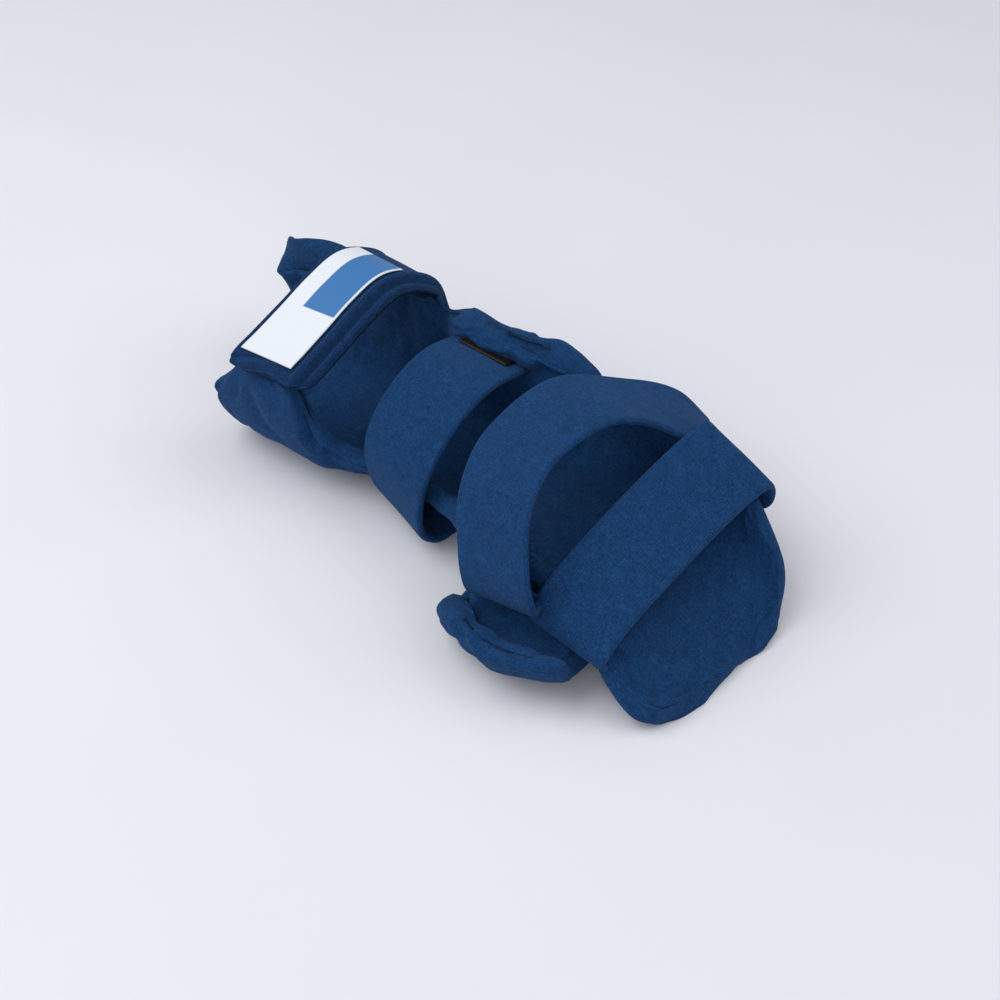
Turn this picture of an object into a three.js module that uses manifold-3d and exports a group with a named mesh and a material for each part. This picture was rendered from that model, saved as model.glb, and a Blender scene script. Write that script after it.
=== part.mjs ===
// Resting hand splint for the left hand: a padded forearm and hand support with four fastening straps.
// Millimetres. +X points to the fingertips, +Z up, and the thumb side is at -Y, the near side.
// The origin lies on the flat underside of the forearm section, where the splint rests.
import * as THREE from "three";
import { mergeVertices } from "three/addons/utils/BufferGeometryUtils.js";
import Module from "manifold-3d";

const wasm = await Module();
wasm.setup();

// Driving dimensions
const splintLength = 310; // origin to the end of the finger pan
const halfWidth = 50; // centre line to the middle of the padding, at the forearm
const wallHeight = 80; // far wall of the forearm section
const archHeight = 32; // rise of the palm above the surface it rests on
const padThickness = 11; // foam and cover of the base
const padRim = 6; // length over which the padding rounds off at an edge
const squareness = 2.5; // 2 is an elliptical section, more is squarer
const restSink = 1.2; // depth of the flat pressed where the base rests
const clearance = 0.3; // between pieces that lie against each other
const forearmStrapWidth = 46;
const forearmStrapThickness = 6.5; // two layers with a bound edge
const wristStrapWidth = 50;
const handStrapWidth = 48;
const fingerStrapWidth = 47;
const strapThickness = 3.5; // foam backed knit of the three flat straps
const labelWidth = 34;
const labelOffset = 1.5; // from the strap's middle line towards its forearm edge
const labelThickness = 1;
const hookTabWidth = 32; // tabs at the far ends of the hand and finger straps
const hookTabThickness = 2;
const hookPatchWidth = 34; // patch on top of the wrist strap
const hookPatchThickness = 1.5;

// Colours of the cloth and trims
const navyKnit = { color: 0x1d3c6b, roughness: 0.95, metalness: 0 };
const navyBinding = { color: 0x183259, roughness: 0.95, metalness: 0 };
const labelCloth = { color: 0xdfe6ee, roughness: 0.7, metalness: 0 };
const hookBlack = { color: 0x15161a, roughness: 0.85, metalness: 0 };

// Rounded near corners of the forearm strap, as shares of its run and of its half width
const cornerRun = 0.05;
const cornerWidth = 0.35;

// Turns a short table, one row for each section or fold, into rows with the named columns
function table(names, rows) {
  const keys = names.split(" ");
  return rows.map((row) => Object.fromEntries(keys.map((key, k) => [key, row[k]])));
}

// Sections of the base from the forearm end to the fingertips.
// at and the two leads are shares of splintLength, floor of archHeight, reach of halfWidth and rise of
// wallHeight. curl is the angle in degrees that a wall turns through. pad and lip are shares of
// padThickness, in the floor and at the top of the far wall.
const baseSections = table(
  "at floor nearReach nearRise nearCurl nearLead farReach farRise farCurl farLead pad lip",
  [
    [-0.034, 0, 0.94, 0.44, 80, 0.002, 0.94, 0.79, 128, -0.138, 1, 2.2],
    [0.03, 0, 0.95, 0.66, 102, 0, 0.96, 0.96, 130, -0.05, 1, 1.6],
    [0.09, 0.02, 0.95, 0.9, 120, 0, 0.98, 1.02, 130, 0, 1, 1],
    [0.17, 0.08, 0.92, 0.78, 112, 0, 1, 1.02, 128, 0, 1, 1],
    [0.215, 0.15, 0.86, 0.46, 92, 0, 0.99, 0.98, 122, 0, 1, 1],
    [0.262, 0.21, 0.77, 0.3, 72, 0, 0.95, 0.88, 112, 0, 0.95, 0.9],
    [0.33, 0.28, 0.64, 0.26, 68, 0, 0.95, 0.93, 118, 0, 0.9, 1.5],
    [0.42, 0.37, 0.63, 0.24, 66, 0, 0.97, 0.93, 122, 0, 0.9, 1.9],
    [0.5, 0.49, 0.72, 0.21, 60, 0, 1.02, 0.86, 116, 0, 1, 1.9],
    [0.56, 0.63, 0.83, 0.18, 54, 0, 1.08, 0.7, 100, 0, 1, 1.5],
    [0.61, 0.77, 0.92, 0.16, 48, 0, 1.16, 0.48, 84, 0, 1, 1],
    [0.71, 0.94, 1.02, 0.13, 42, 0, 1.24, 0.46, 76, 0, 1, 1],
    [0.79, 0.88, 1.06, 0.11, 38, 0, 1.24, 0.46, 74, 0, 1, 1],
    [0.86, 0.6, 1.13, 0.09, 34, 0, 1.22, 0.46, 72, 0, 0.95, 1],
    [0.92, 0.33, 1.28, 0.07, 28, 0, 1.14, 0.42, 66, 0, 0.95, 1],
    [0.972, 0.08, 1.31, 0.05, 22, 0, 1.08, 0.29, 54, 0, 0.9, 1],
    [0.998, 0.01, 1.21, 0.04, 18, 0, 0.94, 0.19, 42, 0, 0.88, 1],
    [1.011, 0, 1, 0.03, 14, 0, 0.76, 0.1, 32, 0, 0.86, 1],
    [1.018, 0, 0.73, 0.02, 12, 0, 0.5, 0.05, 24, 0, 0.85, 1],
    [1.021, 0, 0.44, 0.012, 10, 0, 0.26, 0.02, 16, 0, 0.85, 1],
  ],
);

// Creases and gathers of the base: a valley between two places, or a ridge where depth is below 0.
// The places are shares along and across as in the sections; width and depth are shares of padThickness.
const baseFolds = table("fromAt fromShare toAt toShare width depth", [
  [0.05, -0.86, 0.1, -0.42, 0.55, 0.3],
  [0.19, -0.62, 0.24, -0.3, 0.55, 0.25],
  [-0.05, 0.9, 0.05, 0.8, 0.5, 0.35],
  [0.262, 1.1, 0.262, 0.62, 0.6, 0.4],
  [0.29, 0.98, 0.43, 0.8, 0.5, 0.3],
  [0.44, 1, 0.52, 0.82, 0.5, 0.3],
  [0.94, 0.35, 1, 0.1, 0.6, 0.25],
]);

// Cradle of the thumb, from its wrist end to its tip end. at is a share of splintLength; side, to its
// middle line, and reach, its half width, are shares of halfWidth; up and rise are shares of archHeight.
const thumbSections = table("at side up reach rise curl pad", [
  [0.612, 1.21, 0.36, 0.16, 0.22, 60, 1.25],
  [0.636, 1.27, 0.36, 0.29, 0.42, 76, 1.4],
  [0.69, 1.34, 0.4, 0.38, 0.58, 88, 1.45],
  [0.75, 1.38, 0.43, 0.41, 0.6, 90, 1.4],
  [0.81, 1.33, 0.49, 0.38, 0.55, 88, 1.2],
  [0.85, 1.26, 0.52, 0.34, 0.47, 84, 1],
  [0.868, 1.22, 0.54, 0.28, 0.38, 80, 0.85],
]);

// Straps from the near end to the far end. at is a share of the strap's run; along is a share of
// splintLength, across of halfWidth and up of wallHeight, for the strap's middle line. yaw turns its width
// in plan and tilt lowers its fingertip edge, in degrees.
const strapColumns = "at along across up yaw tilt";
const forearmStrapRows = table(strapColumns, [
  [0, 0.1375, -1.13, 0.905, 12, 0],
  [0.1, 0.138, -1.04, 0.965, 9, 0],
  [0.22, 0.139, -0.8, 1.025, 5, 0],
  [0.36, 0.14, -0.44, 1.12, 2, 0],
  [0.5, 0.14, -0.06, 1.22, 0, 0],
  [0.64, 0.14, 0.34, 1.28, 0, 0],
  [0.76, 0.141, 0.7, 1.21, 0, 0],
  [0.88, 0.142, 1.03, 1.05, 0, 2],
  [1, 0.144, 1.18, 0.76, 0, 4],
]);
const wristStrapRows = table(strapColumns, [
  [0, 0.395, -0.3, 0.055, -8, 4],
  [0.1, 0.395, -0.58, 0.075, -12, 4],
  [0.2, 0.395, -0.77, 0.22, -15, 2],
  [0.36, 0.394, -0.8, 0.54, -8, 0],
  [0.5, 0.392, -0.6, 0.75, -2, 0],
  [0.68, 0.39, -0.16, 0.93, 0, 0],
  [0.85, 0.388, 0.28, 0.99, 0, 0],
  [1, 0.382, 0.84, 0.9, 0, 0],
]);
const handStrapRows = table(strapColumns, [
  [0, 0.7, -1.14, 0.47, -2, -8],
  [0.05, 0.716, -1.34, 0.43, -2, -14],
  [0.1, 0.718, -1.43, 0.53, -2, -18],
  [0.2, 0.702, -1.38, 0.72, -2, -17],
  [0.36, 0.656, -1.05, 0.97, -2, -13],
  [0.5, 0.623, -0.437, 1.091, -3.6, -8],
  [0.68, 0.628, 0.413, 1.129, -14, -3],
  [0.83, 0.679, 1.013, 1.01, -37, -9],
  [0.92, 0.733, 1.356, 0.872, -38, -2],
  [1, 0.774, 1.604, 0.667, -35, -5],
]);
const fingerStrapRows = table(strapColumns, [
  [0, 0.838, -1.12, 0.27, 0, 5],
  [0.08, 0.84, -1.28, 0.38, 0, 7],
  [0.18, 0.842, -1.16, 0.5, 0, 10],
  [0.32, 0.842, -0.76, 0.61, 0, 14],
  [0.5, 0.842, 0, 0.73, 0, 18],
  [0.7, 0.845, 0.84, 0.84, 0, 22],
  [0.82, 0.85, 1.22, 0.86, 0, 23],
  [0.88, 0.85, 1.32, 0.8, 0, 23],
  [0.94, 0.85, 1.35, 0.69, 0, 22],
  [1, 0.85, 1.33, 0.56, 0, 20],
]);

// Value of a column at a place between the rows: a cubic through the rows with slopes from their neighbours
function readColumn(rows, key, place) {
  const next = rows.findIndex((row) => row.at > place);
  const i = THREE.MathUtils.clamp((next < 0 ? rows.length : next) - 1, 0, rows.length - 2);
  const slope = (k) => {
    const a = rows[Math.max(0, k - 1)];
    const b = rows[Math.min(rows.length - 1, k + 1)];
    return (b[key] - a[key]) / (b.at - a.at);
  };
  const span = rows[i + 1].at - rows[i].at;
  const rise = rows[i + 1][key] - rows[i][key];
  const t = (place - rows[i].at) / span;
  const s0 = slope(i) * span;
  const s1 = slope(i + 1) * span;
  return rows[i][key] + t * (s0 + t * (3 * rise - 2 * s0 - s1 + t * (s0 + s1 - 2 * rise)));
}

// Across and up from the bottom of a U section: share -1 is the near edge and 1 the far edge
function sectionOffset(share, reach, rise, curl) {
  const end = THREE.MathUtils.degToRad(curl);
  const angle = Math.abs(share) * end;
  const round = (value) => Math.sign(value) * Math.pow(Math.abs(value), 2 / squareness);
  const width = end > Math.PI / 2 ? reach : reach / round(Math.sin(end));
  const height = rise / (1 - round(Math.cos(end)));
  return [Math.sign(share) * width * round(Math.sin(angle)), height * (1 - round(Math.cos(angle)))];
}

// Lead of a wall's end, from 0 at the bottom to the edge at 1: turned back at the top for a round corner
const leadShape = (share) => 2 * share ** 2 * (1 - 0.66 * share ** 5);

// Middle surface of the base, at a place along the splint and a share across its section
function basePoint(place, share) {
  const side = share < 0 ? "near" : "far";
  const read = (key) => readColumn(baseSections, key, place);
  const [across, up] = sectionOffset(
    share,
    read(side + "Reach") * halfWidth,
    read(side + "Rise") * wallHeight,
    read(side + "Curl"),
  );
  const lift = (read("pad") * padThickness) / 2 - restSink;
  return new THREE.Vector3(
    (place + read(side + "Lead") * leadShape(Math.abs(share))) * splintLength,
    across,
    read("floor") * archHeight + lift + up,
  );
}

// Depth of the creases at a place of the base
function foldDepth(place, share) {
  const across = 2 * halfWidth;
  return baseFolds.reduce((sum, fold) => {
    const a = new THREE.Vector2(fold.fromAt * splintLength, fold.fromShare * across);
    const b = new THREE.Vector2(fold.toAt * splintLength, fold.toShare * across);
    const p = new THREE.Vector2(place * splintLength, share * across).sub(a);
    const line = b.sub(a);
    const t = THREE.MathUtils.clamp(p.dot(line) / line.lengthSq(), 0, 1);
    const distance = p.distanceTo(line.clone().multiplyScalar(t)) / (fold.width * padThickness);
    return sum + fold.depth * padThickness * Math.exp(-distance * distance);
  }, 0);
}

// Middle surface of the thumb cradle
function thumbPoint(place, share) {
  const read = (key) => readColumn(thumbSections, key, place);
  const reach = read("reach") * halfWidth;
  const [across, up] = sectionOffset(share, reach, read("rise") * archHeight, read("curl"));
  return new THREE.Vector3(
    place * splintLength,
    across - read("side") * halfWidth,
    read("up") * archHeight + up,
  );
}

// Middle surface of a strap: run goes from its near end to its far end, share from its fingertip edge at -1
// to its forearm edge at 1
function strapPoint(rows, width, run, share) {
  const read = (key) => readColumn(rows, key, run);
  const yaw = THREE.MathUtils.degToRad(read("yaw"));
  const tilt = THREE.MathUtils.degToRad(read("tilt"));
  const half = (share * width) / 2;
  return new THREE.Vector3(
    read("along") * splintLength - half * Math.cos(tilt) * Math.cos(yaw),
    read("across") * halfWidth - half * Math.cos(tilt) * Math.sin(yaw),
    read("up") * wallHeight + half * Math.sin(tilt),
  );
}

// Even steps, and steps that crowd towards both ends or one end
function evenSteps(from, to, count) {
  return Array.from({ length: count + 1 }, (_, k) => from + ((to - from) * k) / count);
}
const easeBoth = (t) => (1 - Math.cos(t * Math.PI)) / 2;
const easeStart = (t) => 1 - Math.cos((t * Math.PI) / 2);
const easeEnd = (t) => Math.sin((t * Math.PI) / 2);
const easeNone = (t) => t;
function easedSteps(from, to, count, ease) {
  return evenSteps(0, 1, count).map((t) => from + (to - from) * ease(t));
}
const widened = (steps, margin) => (margin ? [steps[0] - margin, ...steps, steps.at(-1) + margin] : steps);

// Roundness of the padding at a distance from its edge: small at the edge and 1 past the rim
function rimShare(distance, rim) {
  const thinnest = 0.16;
  const t = THREE.MathUtils.clamp(distance / rim, 0, 1);
  return Math.max(thinnest, Math.sqrt(1 - (1 - t) * (1 - t)));
}

// Closed solid between two skins: skins gives their heights along the normal of the middle surface
function skinSolid(uSteps, vSteps, point, skins, lowest = -Infinity) {
  const across = vSteps.length;
  const step = 1e-3;
  const positions = [[], []];
  for (const u of uSteps) {
    for (const v of vSteps) {
      const p = point(u, v);
      const along = point(u + step, v).sub(point(u - step, v));
      const inward = v > 0 ? -1 : 1; // differences stay on one side of the middle, where the walls change
      const sideways = point(u, v + inward * step).sub(p).multiplyScalar(inward);
      const normal = along.cross(sideways).normalize();
      skins(u, v, p).forEach((height, k) => {
        const q = p.clone().addScaledVector(normal, height);
        positions[k].push(q.x, q.y, Math.max(q.z, lowest));
      });
    }
  }
  const count = uSteps.length * across;
  const indices = [];
  const quad = (a, b, c, d) => indices.push(a, b, c, a, c, d);
  for (let i = 0; i < uSteps.length - 1; i++) {
    const row = i * across;
    for (let j = 0; j < across - 1; j++) {
      const a = row + j;
      quad(a, a + across, a + across + 1, a + 1);
      quad(count + a, count + a + 1, count + a + across + 1, count + a + across);
    }
    const end = row + across - 1;
    quad(row, count + row, count + row + across, row + across);
    quad(end, end + across, count + end + across, count + end);
  }
  for (let j = 0; j < across - 1; j++) {
    const last = (uSteps.length - 1) * across + j;
    quad(j, j + 1, count + j + 1, count + j);
    quad(last, count + last, count + last + 1, last + 1);
  }
  const geometry = new THREE.BufferGeometry();
  geometry.setAttribute("position", new THREE.Float32BufferAttribute(positions.flat(), 3));
  geometry.setIndex(indices);
  return toSolid(geometry);
}

// Solids for cutting, and back to a geometry
function toSolid(geometry) {
  const merged = mergeVertices(geometry, 1e-4);
  return new wasm.Manifold(
    new wasm.Mesh({
      numProp: 3,
      vertProperties: merged.getAttribute("position").array,
      triVerts: new Uint32Array(merged.getIndex().array),
    }),
  );
}
function toGeometry(solid) {
  const mesh = solid.getMesh();
  const geometry = new THREE.BufferGeometry();
  geometry.setAttribute("position", new THREE.BufferAttribute(mesh.vertProperties, 3));
  geometry.setIndex(new THREE.BufferAttribute(mesh.triVerts, 1));
  return geometry;
}

// A piece trimmed where others lie against it: its largest body is kept
function trimmed(solid, ...others) {
  const cut = others.reduce((rest, other) => rest.subtract(other), solid);
  return cut.decompose().reduce((best, body) => (body.volume() > best.volume() ? body : best));
}

// Base: padding rounded at its free edges and cut square where two sections meet
const baseStart = baseSections[0].at;
const baseEnd = baseSections[baseSections.length - 1].at;
const forearmSeam = 0.262; // gather between forearm and wrist, share of splintLength
const panSeam = 0.83; // seam under the finger strap, share of splintLength
const seamHalf = clearance / splintLength / 2;
function baseSolid(from, to, count, ease, grow = 0) {
  return skinSolid(
    widened(easedSteps(from, to, count, ease), grow / splintLength),
    widened(easedSteps(-1, 1, 22, easeBoth), grow / halfWidth),
    basePoint,
    (place, share, p) => {
      const edge = basePoint(place, Math.sign(share || 1)).distanceTo(p);
      const ends = Math.min(place - baseStart, baseEnd - place) * splintLength;
      const lip = THREE.MathUtils.lerp(1, readColumn(baseSections, "lip", place), Math.max(0, share) ** 3);
      const depth = readColumn(baseSections, "pad", place) * padThickness * lip;
      const half = (depth * Math.min(rimShare(edge, padRim * lip), rimShare(ends, padRim))) / 2;
      const fold = foldDepth(place, share);
      return [half + grow + fold, fold - half - grow];
    },
    grow ? -Infinity : 0,
  );
}
const basePieces = [
  [baseStart, forearmSeam - seamHalf, 16, easeStart],
  [forearmSeam + seamHalf, panSeam - seamHalf, 24, easeNone],
  [panSeam + seamHalf, baseEnd, 11, easeEnd],
];
const [forearmTrough, palmSection, fingerPan] = basePieces.map((piece) => baseSolid(...piece));
const grownPieces = basePieces.map((piece) => baseSolid(...piece, clearance));
const baseClear = grownPieces.reduce((all, piece) => all.add(piece));

// Thumb cradle
function thumbSolid(grow = 0) {
  const start = thumbSections[0].at;
  const end = thumbSections[thumbSections.length - 1].at;
  return skinSolid(
    widened(easedSteps(start, end, 12, easeBoth), grow / splintLength),
    widened(easedSteps(-1, 1, 12, easeBoth), (2 * grow) / halfWidth),
    thumbPoint,
    (place, share, p) => {
      const edge = thumbPoint(place, Math.sign(share || 1)).distanceTo(p);
      const ends = Math.min(place - start, end - place) * splintLength;
      const depth = readColumn(thumbSections, "pad", place) * padThickness;
      const half = (depth * Math.min(rimShare(edge, padRim), rimShare(ends, padRim))) / 2;
      return [half + grow, -half - grow];
    },
  );
}
const thumbRest = trimmed(thumbSolid(), baseClear);
const thumbClear = thumbSolid(clearance);

// Share of its half width that a strap with rounded near corners has at a place of its run
function corneredShare(place) {
  const t = Math.max(0, 1 - place / cornerRun);
  return 1 - cornerWidth * (1 - Math.sqrt(1 - t * t));
}

// Straps, with rounded edges. below and above are heights on the strap's middle surface, outwards
function strapLayer(rows, width, below, above, run, span = [-1, 1], count = 26, narrowing = () => 1) {
  const thinnest = 0.35;
  const middle = (below + above) / 2;
  return skinSolid(
    evenSteps(run[0], run[1], count),
    easedSteps(span[0], span[1], 5, easeBoth),
    (place, share) => strapPoint(rows, width, place, share * narrowing(Math.max(0, place))),
    (place, share) => {
      const edge = (2 * (share - span[0])) / (span[1] - span[0]) - 1;
      const half = ((above - below) / 2) * Math.max(thinnest, Math.sqrt(1 - Math.abs(edge) ** 8));
      return [middle + half, middle - half];
    },
  );
}
const strap = (rows, width, thickness, run = [0, 1]) =>
  strapLayer(rows, width, -thickness / 2, thickness / 2, run);
const tabRun = 0.9; // where the hook tabs take over from the hand and finger straps
const tabGap = 0.006;
const tabSkins = [-hookTabThickness / 2, hookTabThickness / 2];
const forearmStrap = trimmed(
  strapLayer(
    forearmStrapRows,
    forearmStrapWidth,
    -forearmStrapThickness / 2,
    forearmStrapThickness / 2,
    [0, 1],
    [-1, 1],
    40,
    corneredShare,
  ),
  baseClear,
);
const wristStrap = trimmed(strap(wristStrapRows, wristStrapWidth, strapThickness), baseClear);
const fingerStrap = trimmed(
  strap(fingerStrapRows, fingerStrapWidth, strapThickness, [0, tabRun]),
  baseClear,
  thumbClear,
);
const fingerRoom = (run) =>
  strap(fingerStrapRows, fingerStrapWidth + 2 * clearance, strapThickness + 2 * clearance, run);
const fingerClear = fingerRoom([0, tabRun]).add(fingerRoom([0, 1]));
const handStrap = trimmed(
  strap(handStrapRows, handStrapWidth, strapThickness, [0, tabRun]),
  baseClear,
  thumbClear,
  fingerClear,
);
function hookTab(rows, ...others) {
  const run = [tabRun + tabGap, 1];
  return trimmed(strapLayer(rows, hookTabWidth, ...tabSkins, run, [-1, 1], 6), baseClear, ...others);
}

// Patches that lie on a strap: the label and the hook patch
function strapPatch(rows, strapWidth, depth, patchWidth, thickness, run, offset = 0) {
  const below = depth / 2 + clearance;
  const span = [-1, 1].map((side) => (side * patchWidth + 2 * offset) / strapWidth);
  return strapLayer(rows, strapWidth, below, below + thickness, run, span, 20);
}
const strapLabel = strapPatch(
  forearmStrapRows,
  forearmStrapWidth,
  forearmStrapThickness,
  labelWidth,
  labelThickness,
  [0.11, 0.74],
  labelOffset,
);
const wristHookPatch = trimmed(
  strapPatch(
    wristStrapRows,
    wristStrapWidth,
    strapThickness,
    hookPatchWidth,
    hookPatchThickness,
    [0.915, 1],
  ),
  baseClear,
);

const splint = new THREE.Group();
function addPiece(name, solid, finish) {
  const mesh = new THREE.Mesh(toGeometry(solid), new THREE.MeshStandardMaterial(finish));
  mesh.name = name;
  splint.add(mesh);
}
addPiece("forearm_trough", forearmTrough, navyKnit);
addPiece("palm_section", palmSection, navyKnit);
addPiece("finger_pan", fingerPan, navyKnit);
addPiece("thumb_rest", thumbRest, navyKnit);
addPiece("forearm_strap", forearmStrap, navyBinding);
addPiece("strap_label", strapLabel, labelCloth);
addPiece("wrist_strap", wristStrap, navyKnit);
addPiece("wrist_hook_patch", wristHookPatch, hookBlack);
addPiece("hand_strap", handStrap, navyKnit);
addPiece("hand_hook_tab", hookTab(handStrapRows, fingerClear), hookBlack);
addPiece("finger_strap", fingerStrap, navyKnit);
addPiece("finger_hook_tab", hookTab(fingerStrapRows), hookBlack);

export default splint;
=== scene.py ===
import bpy
import numpy as np
from mathutils import Matrix, Vector


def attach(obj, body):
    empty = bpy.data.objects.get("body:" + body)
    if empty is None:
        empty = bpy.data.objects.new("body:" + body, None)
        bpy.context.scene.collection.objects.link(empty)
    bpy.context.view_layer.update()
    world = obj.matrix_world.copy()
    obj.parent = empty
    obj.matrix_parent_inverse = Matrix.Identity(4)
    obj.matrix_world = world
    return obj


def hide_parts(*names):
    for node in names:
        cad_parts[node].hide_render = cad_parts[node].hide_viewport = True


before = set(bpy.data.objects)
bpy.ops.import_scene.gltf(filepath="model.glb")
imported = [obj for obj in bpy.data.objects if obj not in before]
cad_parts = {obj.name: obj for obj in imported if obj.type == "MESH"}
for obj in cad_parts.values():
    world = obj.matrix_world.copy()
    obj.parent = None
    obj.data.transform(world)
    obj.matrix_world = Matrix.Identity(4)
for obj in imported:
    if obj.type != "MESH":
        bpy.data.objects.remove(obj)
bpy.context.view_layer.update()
print("stage: frame loaded", sorted(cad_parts))


# Camera at the photograph's angle
camera = {
    "place": (0.6121, -0.5024, 0.6062),
    "azimuth": 42.0,  # degrees, from the thumb side towards the fingertips
    "elevation": 41.0,
    "lens": 60.84,  # millimetres on a 36 mm sensor
}


def lookingFrom(place, back):
    # placed at a point, with its own Z axis along the direction back
    return Matrix.Translation(place) @ back.to_track_quat("Z", "Y").to_matrix().to_4x4()


def addCamera(settings):
    # back points from the subject to the camera: sine and cosine of the two angles
    around, above = np.radians([settings["azimuth"], settings["elevation"]])
    back = Vector((np.sin(around) * np.cos(above), -np.cos(around) * np.cos(above), np.sin(above)))
    data = bpy.data.cameras.new("photoCamera")
    data.lens = settings["lens"]
    data.sensor_width = 36.0
    data.clip_start, data.clip_end = 0.05, 50.0
    made = bpy.data.objects.new("photoCamera", data)
    made.matrix_world = lookingFrom(settings["place"], back)
    bpy.context.scene.collection.objects.link(made)
    bpy.context.scene.camera = made


addCamera(camera)
print("stage: camera")


# Sizes in millimetres
splint = {
    "length": 310.0,
    "halfWidth": 50.0,
    "wallHeight": 80.0,
    "archHeight": 32.0,
    "padThickness": 11.0,
    "padRim": 6.0,  # length over which padding rounds off at an edge
    "squareness": 2.5,  # 2 is an elliptical section, more is squarer
    "restSink": 1.2,  # depth of the flat pressed where the base rests
    "cornerFrom": 0.925,  # share from its middle line to its rim at which the forearm end's corners start
    "cornerDraw": (0.012, 0.032),  # how far they are drawn in, near and far side, as shares of length
    "rimReturn": 0.66,  # how far a wall's rim comes back from the wall's greatest lead
}

# Sections of the base: at and lead are shares of length, floor of archHeight, reach of halfWidth, rise
# of wallHeight, pad of padThickness, and lip of the pad at the far rim. curl is the wall's turn in degrees
baseNames = "at floor nearReach nearRise nearCurl nearLead farReach farRise farCurl farLead pad lip"
baseRows = [
    [-0.034, 0, 0.94, 0.44, 80, 0.002, 0.94, 0.75, 128, -0.138, 1, 2.4],
    [0.03, 0, 0.95, 0.66, 102, 0, 0.96, 0.96, 130, -0.05, 1, 1.6],
    [0.09, 0.02, 0.95, 0.9, 120, 0, 0.98, 1.02, 130, 0, 1, 1],
    [0.17, 0.08, 0.92, 0.78, 112, 0, 1, 1.02, 128, 0, 1, 1],
    [0.215, 0.15, 0.86, 0.46, 92, 0, 0.99, 0.98, 122, 0, 1, 1],
    [0.262, 0.21, 0.77, 0.3, 72, 0, 0.95, 0.88, 112, 0, 0.95, 0.9],
    [0.33, 0.28, 0.64, 0.26, 68, 0, 0.95, 0.93, 118, 0, 0.9, 1.5],
    [0.42, 0.37, 0.63, 0.24, 66, 0, 0.97, 0.93, 122, 0, 0.9, 1.9],
    [0.5, 0.49, 0.72, 0.21, 60, 0, 1.02, 0.86, 116, 0, 1, 1.9],
    [0.56, 0.63, 0.83, 0.18, 54, 0, 1.08, 0.7, 100, 0, 1, 1.5],
    [0.61, 0.77, 0.92, 0.16, 48, 0, 1.16, 0.48, 84, 0, 1, 1],
    [0.71, 0.94, 1.02, 0.13, 42, 0, 1.24, 0.46, 76, 0, 1, 1],
    [0.79, 0.88, 1.06, 0.11, 38, 0, 1.24, 0.46, 74, 0, 1, 1],
    [0.86, 0.6, 1.13, 0.09, 34, 0, 1.22, 0.46, 72, 0, 0.95, 1],
    [0.92, 0.33, 1.28, 0.07, 28, 0, 1.14, 0.42, 66, 0, 0.95, 1],
    [0.972, 0.08, 1.31, 0.05, 22, 0, 1.08, 0.29, 54, 0, 0.9, 1],
    [0.998, 0.01, 1.21, 0.04, 18, 0, 0.94, 0.19, 42, 0, 0.88, 1],
    [1.011, 0, 1, 0.03, 14, 0, 0.76, 0.1, 32, 0, 0.86, 1],
    [1.018, 0, 0.73, 0.02, 12, 0, 0.5, 0.05, 24, 0, 0.85, 1],
    [1.021, 0, 0.44, 0.012, 10, 0, 0.26, 0.02, 16, 0, 0.85, 1],
]

# Folds: a valley between two places, or a ridge where depth is below 0. at is a place along the base.
# over runs across its skin without a break: from -1 to 1 on the inside, and past the rims, from 1 to 2
# and from -1 to -2, on the outside. width and depth are shares of padThickness
foldNames = "fromAt fromOver toAt toOver width depth"
foldRows = [
    # forearm wall on the near side: corner fold, seam down the wing, rolled end with the liner beyond it
    [-0.02, -1.09, 0.054, -1.19, 0.28, 0.16],
    [0.084, -1.24, 0.102, -1.32, 0.3, 0.2],
    [0.102, -1.32, 0.14, -1.46, 0.35, 0.2],
    [0.19, -0.985, 0.205, -1.04, 0.28, 0.34],
    [0.205, -1.04, 0.222, -1.12, 0.28, 0.34],
    [0.222, -1.12, 0.262, -1.08, 0.28, 0.3],
    [0.18, -1.06, 0.2, -1.2, 0.5, -0.1],
    [0.12, -1.62, 0.2, -1.72, 0.7, 0.12],
    [0.02, -1.55, 0.07, -1.68, 0.8, 0.12],
    # far wall of the forearm: crease of the lobe, folds inside
    [0.0, 0.88, 0.05, 0.92, 0.55, 0.2],
    [-0.03, 0.93, 0.02, 0.93, 0.7, -0.16],
    [0.1, 0.93, 0.19, 0.86, 0.5, 0.14],
    [0.18, 0.98, 0.235, 0.8, 0.45, 0.16],
    [0.235, 0.98, 0.262, 0.7, 0.5, 0.3],
    [0.262, 1.2, 0.262, 0.62, 0.55, 0.42],
    # tall wall beside the wrist: a front roll that ends in a lobe, and two humps behind it
    [0.3, 0.93, 0.47, 0.9, 0.8, -0.22],
    [0.285, 1.12, 0.33, 1.07, 0.42, 0.5],
    [0.33, 1.07, 0.4, 1.02, 0.42, 0.55],
    [0.4, 1.02, 0.475, 0.98, 0.42, 0.5],
    [0.475, 0.98, 0.492, 0.88, 0.42, 0.36],
    [0.372, 1.03, 0.4, 1.2, 0.5, 0.42],
    [0.458, 1.0, 0.488, 1.18, 0.5, 0.42],
    [0.5, 0.95, 0.56, 0.84, 0.5, 0.14],
    [0.3, 0.8, 0.42, 0.72, 0.6, 0.12],
    # outside of that wall, gathers below the pinch
    [0.275, 1.3, 0.36, 1.42, 0.7, 0.14],
    [0.29, 1.18, 0.42, 1.28, 0.7, 0.12],
    # palm and pan
    [0.43, -0.98, 0.47, -0.6, 0.5, 0.1],
    [0.62, -0.95, 0.66, -0.5, 0.6, 0.1],
    [0.965, 0.62, 1.0, 0.55, 0.5, 0.07],
    [0.93, -0.82, 0.985, -0.66, 0.7, 0.08],
]
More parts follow.
